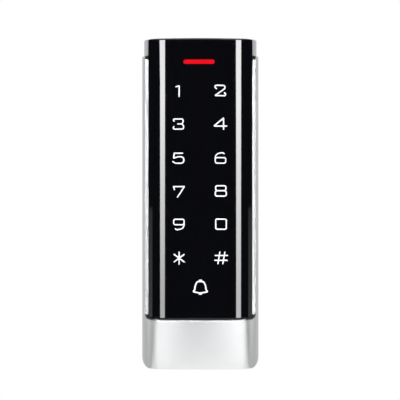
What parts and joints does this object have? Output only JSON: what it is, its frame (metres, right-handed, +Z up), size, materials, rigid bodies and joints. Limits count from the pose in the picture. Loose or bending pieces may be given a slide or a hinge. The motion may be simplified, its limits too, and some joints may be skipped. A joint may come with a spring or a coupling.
{
  "type": "keypad access reader",
  "caption": "Slim wall-mounted access reader with a black gloss touch keypad, a status light bar and a satin die-cast housing that hooks onto a wall plate.",
  "frame": {"origin": "middle of the two wall-screw holes, on the wall plane at the rear of the wall plate", "axes": "+X right as seen from the front, +Y into the wall, +Z up; the keypad faces -Y"},
  "size_m": [0.053, 0.022, 0.148],
  "materials": {
    "die_cast": "satin silver finish on die-cast zinc alloy",
    "gloss_panel": "high-gloss black, printed from behind",
    "light_lens": "red diffusing lens",
    "sheet_steel": "zinc-plated sheet",
    "screw_steel": "stainless, bright",
    "rubber_black": "matt",
    "cover_black": "fine-textured black moulding",
    "mask_white": "matt white moulding",
    "adhesive": "black foam tape",
    "board_green": "solder-masked circuit board",
    "chip_black": "moulded black",
    "led_white": "translucent white",
    "copper_coil": "enamelled copper",
    "gold_plate": "gold-plated spring wire",
    "relay_blue": "moulded blue",
    "can_aluminium": "aluminium can",
    "socket_ivory": "moulded ivory",
    "window_clear": "clear moulding",
    "sensor_tan": "coated sensor"
  },
  "bodies": {
    "wall_side": {"back_plate": "sheet_steel", "cable_grommet": "rubber_black", "clinch_nut": "screw_steel"},
    "reader": {"housing": "die_cast", "rail_pads": "rubber_black", "front_panel": "gloss_panel", "panel_adhesive": "adhesive", "status_light_bar": "light_lens", "light_mask": "mask_white", "touch_board": "board_green", "touch_springs": "gold_plate", "backlight_leds": "led_white", "status_leds": "led_white", "reader_coil": "copper_coil", "board_spacers": "gold_plate", "main_board": "board_green", "board_link": "chip_black", "microcontroller": "chip_black", "voltage_regulator": "chip_black", "relay": "relay_blue", "buzzer": "chip_black", "capacitors": "can_aluminium", "tamper_sensor": "sensor_tan", "sensor_window": "window_clear", "cable_socket": "socket_ivory", "rear_cover": "cover_black", "cover_seal": "rubber_black", "cover_screws": "screw_steel", "board_screws": "screw_steel"},
    "lock_screw": {"security_screw": "screw_steel"}
  },
  "joints": [
    {"name": "reader_tilt", "type": "hinge", "parent": "wall_side", "child": "reader", "pos_m": [0, -0.0008, 0.0734], "axis": [-1, 0, 0], "range_deg": [0, 20]},
    {"name": "screw_travel", "type": "slide", "parent": "wall_side", "child": "lock_screw", "axis": [0, 0, -1], "range_m": [0, 0.012]}
  ]
}
